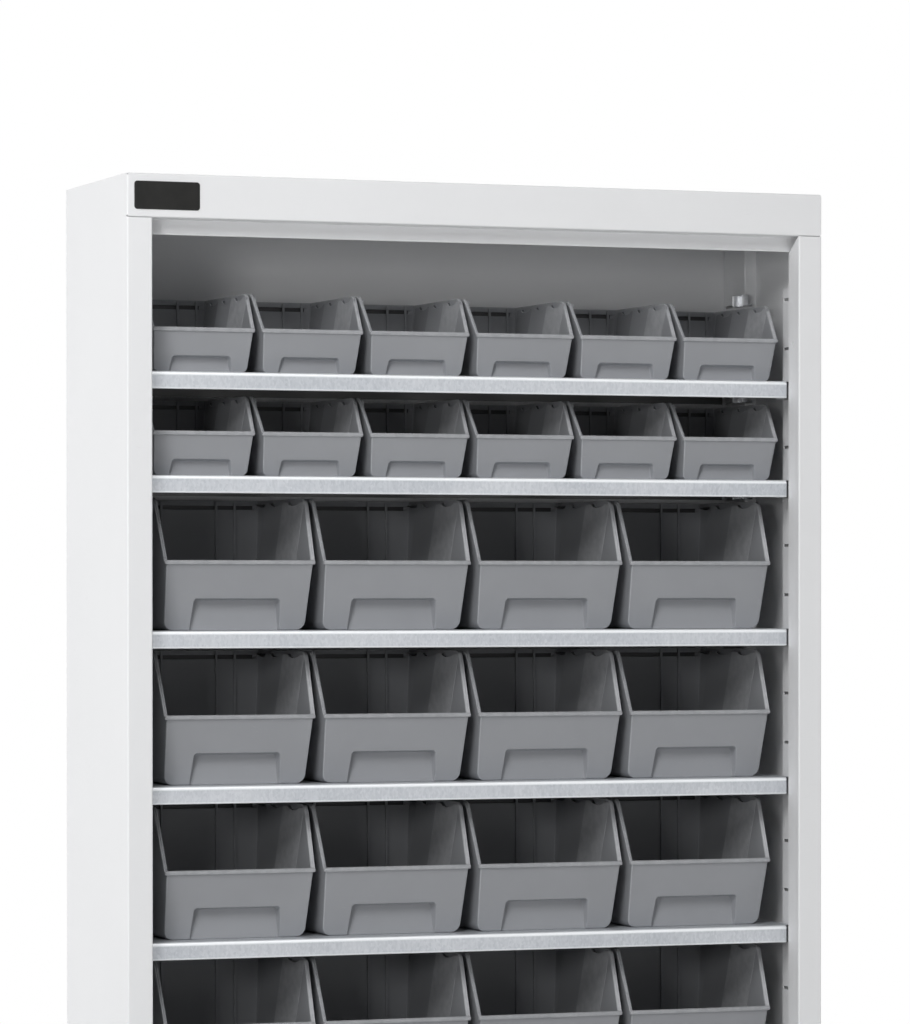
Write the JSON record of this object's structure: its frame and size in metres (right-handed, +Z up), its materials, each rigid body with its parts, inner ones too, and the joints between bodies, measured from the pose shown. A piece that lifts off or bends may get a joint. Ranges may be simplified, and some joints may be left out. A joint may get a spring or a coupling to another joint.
{
  "type": "parts bin cabinet",
  "caption": "Tall open-fronted sheet steel cabinet with adjustable zinc-coated shelves and rows of grey open-front picking bins that slide out.",
  "frame": {"origin": "centre of the footprint on the floor, at the bottom of the bounding box", "axes": "+Z up; the open front faces -Y; +X to the right seen from the front"},
  "size_m": [0.723, 0.225, 1],
  "materials": {
    "carcass_paint": "light grey powder coat, fine texture",
    "zinc_shelf": "zinc-coated sheet with a fine spangle",
    "zinc_clip": "bright zinc plate",
    "bin_plastic": "mid grey moulded plastic, satin",
    "badge": "black, satin gloss, blank",
    "rivet_metal": "plain"
  },
  "bodies": {
    "cabinet": {"side_panel_left": "carcass_paint", "side_panel_right": "carcass_paint", "header_panel": "carcass_paint", "base_panel": "carcass_paint", "back_panel": "carcass_paint", "front_upright_left": "carcass_paint", "front_upright_right": "carcass_paint", "rear_upright_left": "carcass_paint", "rear_upright_right": "carcass_paint", "badge_plate": "badge", "back_rivets": "rivet_metal", "spare_clip": "zinc_clip", "shelf_1": "zinc_shelf", "shelf_2": "zinc_shelf", "shelf_3": "zinc_shelf", "shelf_4": "zinc_shelf", "shelf_5": "zinc_shelf", "shelf_clips_1": "zinc_clip", "shelf_clips_2": "zinc_clip", "shelf_clips_3": "zinc_clip", "shelf_clips_4": "zinc_clip", "shelf_clips_5": "zinc_clip"},
    "small_bin_1_1": {"small_bin_1_1": "bin_plastic"},
    "small_bin_1_2": {"small_bin_1_2": "bin_plastic"},
    "small_bin_1_3": {"small_bin_1_3": "bin_plastic"},
    "small_bin_1_4": {"small_bin_1_4": "bin_plastic"},
    "small_bin_1_5": {"small_bin_1_5": "bin_plastic"},
    "small_bin_1_6": {"small_bin_1_6": "bin_plastic"},
    "small_bin_2_1": {"small_bin_2_1": "bin_plastic"},
    "small_bin_2_2": {"small_bin_2_2": "bin_plastic"},
    "small_bin_2_3": {"small_bin_2_3": "bin_plastic"},
    "small_bin_2_4": {"small_bin_2_4": "bin_plastic"},
    "small_bin_2_5": {"small_bin_2_5": "bin_plastic"},
    "small_bin_2_6": {"small_bin_2_6": "bin_plastic"},
    "medium_bin_3_1": {"medium_bin_3_1": "bin_plastic"},
    "medium_bin_3_2": {"medium_bin_3_2": "bin_plastic"},
    "medium_bin_3_3": {"medium_bin_3_3": "bin_plastic"},
    "medium_bin_3_4": {"medium_bin_3_4": "bin_plastic"},
    "medium_bin_4_1": {"medium_bin_4_1": "bin_plastic"},
    "medium_bin_4_2": {"medium_bin_4_2": "bin_plastic"},
    "medium_bin_4_3": {"medium_bin_4_3": "bin_plastic"},
    "medium_bin_4_4": {"medium_bin_4_4": "bin_plastic"},
    "medium_bin_5_1": {"medium_bin_5_1": "bin_plastic"},
    "medium_bin_5_2": {"medium_bin_5_2": "bin_plastic"},
    "medium_bin_5_3": {"medium_bin_5_3": "bin_plastic"},
    "medium_bin_5_4": {"medium_bin_5_4": "bin_plastic"},
    "medium_bin_6_1": {"medium_bin_6_1": "bin_plastic"},
    "medium_bin_6_2": {"medium_bin_6_2": "bin_plastic"},
    "medium_bin_6_3": {"medium_bin_6_3": "bin_plastic"},
    "medium_bin_6_4": {"medium_bin_6_4": "bin_plastic"}
  },
  "joints": [
    {"name": "small_bin_1_1_slide", "type": "slide", "parent": "cabinet", "child": "small_bin_1_1", "axis": [0, -1, 0], "range_m": [0, 0.204]},
    {"name": "small_bin_1_2_slide", "type": "slide", "parent": "cabinet", "child": "small_bin_1_2", "axis": [0, -1, 0], "range_m": [0, 0.204]},
    {"name": "small_bin_1_3_slide", "type": "slide", "parent": "cabinet", "child": "small_bin_1_3", "axis": [0, -1, 0], "range_m": [0, 0.204]},
    {"name": "small_bin_1_4_slide", "type": "slide", "parent": "cabinet", "child": "small_bin_1_4", "axis": [0, -1, 0], "range_m": [0, 0.204]},
    {"name": "small_bin_1_5_slide", "type": "slide", "parent": "cabinet", "child": "small_bin_1_5", "axis": [0, -1, 0], "range_m": [0, 0.204]},
    {"name": "small_bin_1_6_slide", "type": "slide", "parent": "cabinet", "child": "small_bin_1_6", "axis": [0, -1, 0], "range_m": [0, 0.204]},
    {"name": "small_bin_2_1_slide", "type": "slide", "parent": "cabinet", "child": "small_bin_2_1", "axis": [0, -1, 0], "range_m": [0, 0.204]},
    {"name": "small_bin_2_2_slide", "type": "slide", "parent": "cabinet", "child": "small_bin_2_2", "axis": [0, -1, 0], "range_m": [0, 0.204]},
    {"name": "small_bin_2_3_slide", "type": "slide", "parent": "cabinet", "child": "small_bin_2_3", "axis": [0, -1, 0], "range_m": [0, 0.204]},
    {"name": "small_bin_2_4_slide", "type": "slide", "parent": "cabinet", "child": "small_bin_2_4", "axis": [0, -1, 0], "range_m": [0, 0.204]},
    {"name": "small_bin_2_5_slide", "type": "slide", "parent": "cabinet", "child": "small_bin_2_5", "axis": [0, -1, 0], "range_m": [0, 0.204]},
    {"name": "small_bin_2_6_slide", "type": "slide", "parent": "cabinet", "child": "small_bin_2_6", "axis": [0, -1, 0], "range_m": [0, 0.204]},
    {"name": "medium_bin_3_1_slide", "type": "slide", "parent": "cabinet", "child": "medium_bin_3_1", "axis": [0, -1, 0], "range_m": [0, 0.221]},
    {"name": "medium_bin_3_2_slide", "type": "slide", "parent": "cabinet", "child": "medium_bin_3_2", "axis": [0, -1, 0], "range_m": [0, 0.221]},
    {"name": "medium_bin_3_3_slide", "type": "slide", "parent": "cabinet", "child": "medium_bin_3_3", "axis": [0, -1, 0], "range_m": [0, 0.221]},
    {"name": "medium_bin_3_4_slide", "type": "slide", "parent": "cabinet", "child": "medium_bin_3_4", "axis": [0, -1, 0], "range_m": [0, 0.221]},
    {"name": "medium_bin_4_1_slide", "type": "slide", "parent": "cabinet", "child": "medium_bin_4_1", "axis": [0, -1, 0], "range_m": [0, 0.221]},
    {"name": "medium_bin_4_2_slide", "type": "slide", "parent": "cabinet", "child": "medium_bin_4_2", "axis": [0, -1, 0], "range_m": [0, 0.221]},
    {"name": "medium_bin_4_3_slide", "type": "slide", "parent": "cabinet", "child": "medium_bin_4_3", "axis": [0, -1, 0], "range_m": [0, 0.221]},
    {"name": "medium_bin_4_4_slide", "type": "slide", "parent": "cabinet", "child": "medium_bin_4_4", "axis": [0, -1, 0], "range_m": [0, 0.221]},
    {"name": "medium_bin_5_1_slide", "type": "slide", "parent": "cabinet", "child": "medium_bin_5_1", "axis": [0, -1, 0], "range_m": [0, 0.221]},
    {"name": "medium_bin_5_2_slide", "type": "slide", "parent": "cabinet", "child": "medium_bin_5_2", "axis": [0, -1, 0], "range_m": [0, 0.221]},
    {"name": "medium_bin_5_3_slide", "type": "slide", "parent": "cabinet", "child": "medium_bin_5_3", "axis": [0, -1, 0], "range_m": [0, 0.221]},
    {"name": "medium_bin_5_4_slide", "type": "slide", "parent": "cabinet", "child": "medium_bin_5_4", "axis": [0, -1, 0], "range_m": [0, 0.221]},
    {"name": "medium_bin_6_1_slide", "type": "slide", "parent": "cabinet", "child": "medium_bin_6_1", "axis": [0, -1, 0], "range_m": [0, 0.221]},
    {"name": "medium_bin_6_2_slide", "type": "slide", "parent": "cabinet", "child": "medium_bin_6_2", "axis": [0, -1, 0], "range_m": [0, 0.221]},
    {"name": "medium_bin_6_3_slide", "type": "slide", "parent": "cabinet", "child": "medium_bin_6_3", "axis": [0, -1, 0], "range_m": [0, 0.221]},
    {"name": "medium_bin_6_4_slide", "type": "slide", "parent": "cabinet", "child": "medium_bin_6_4", "axis": [0, -1, 0], "range_m": [0, 0.221]}
  ]
}
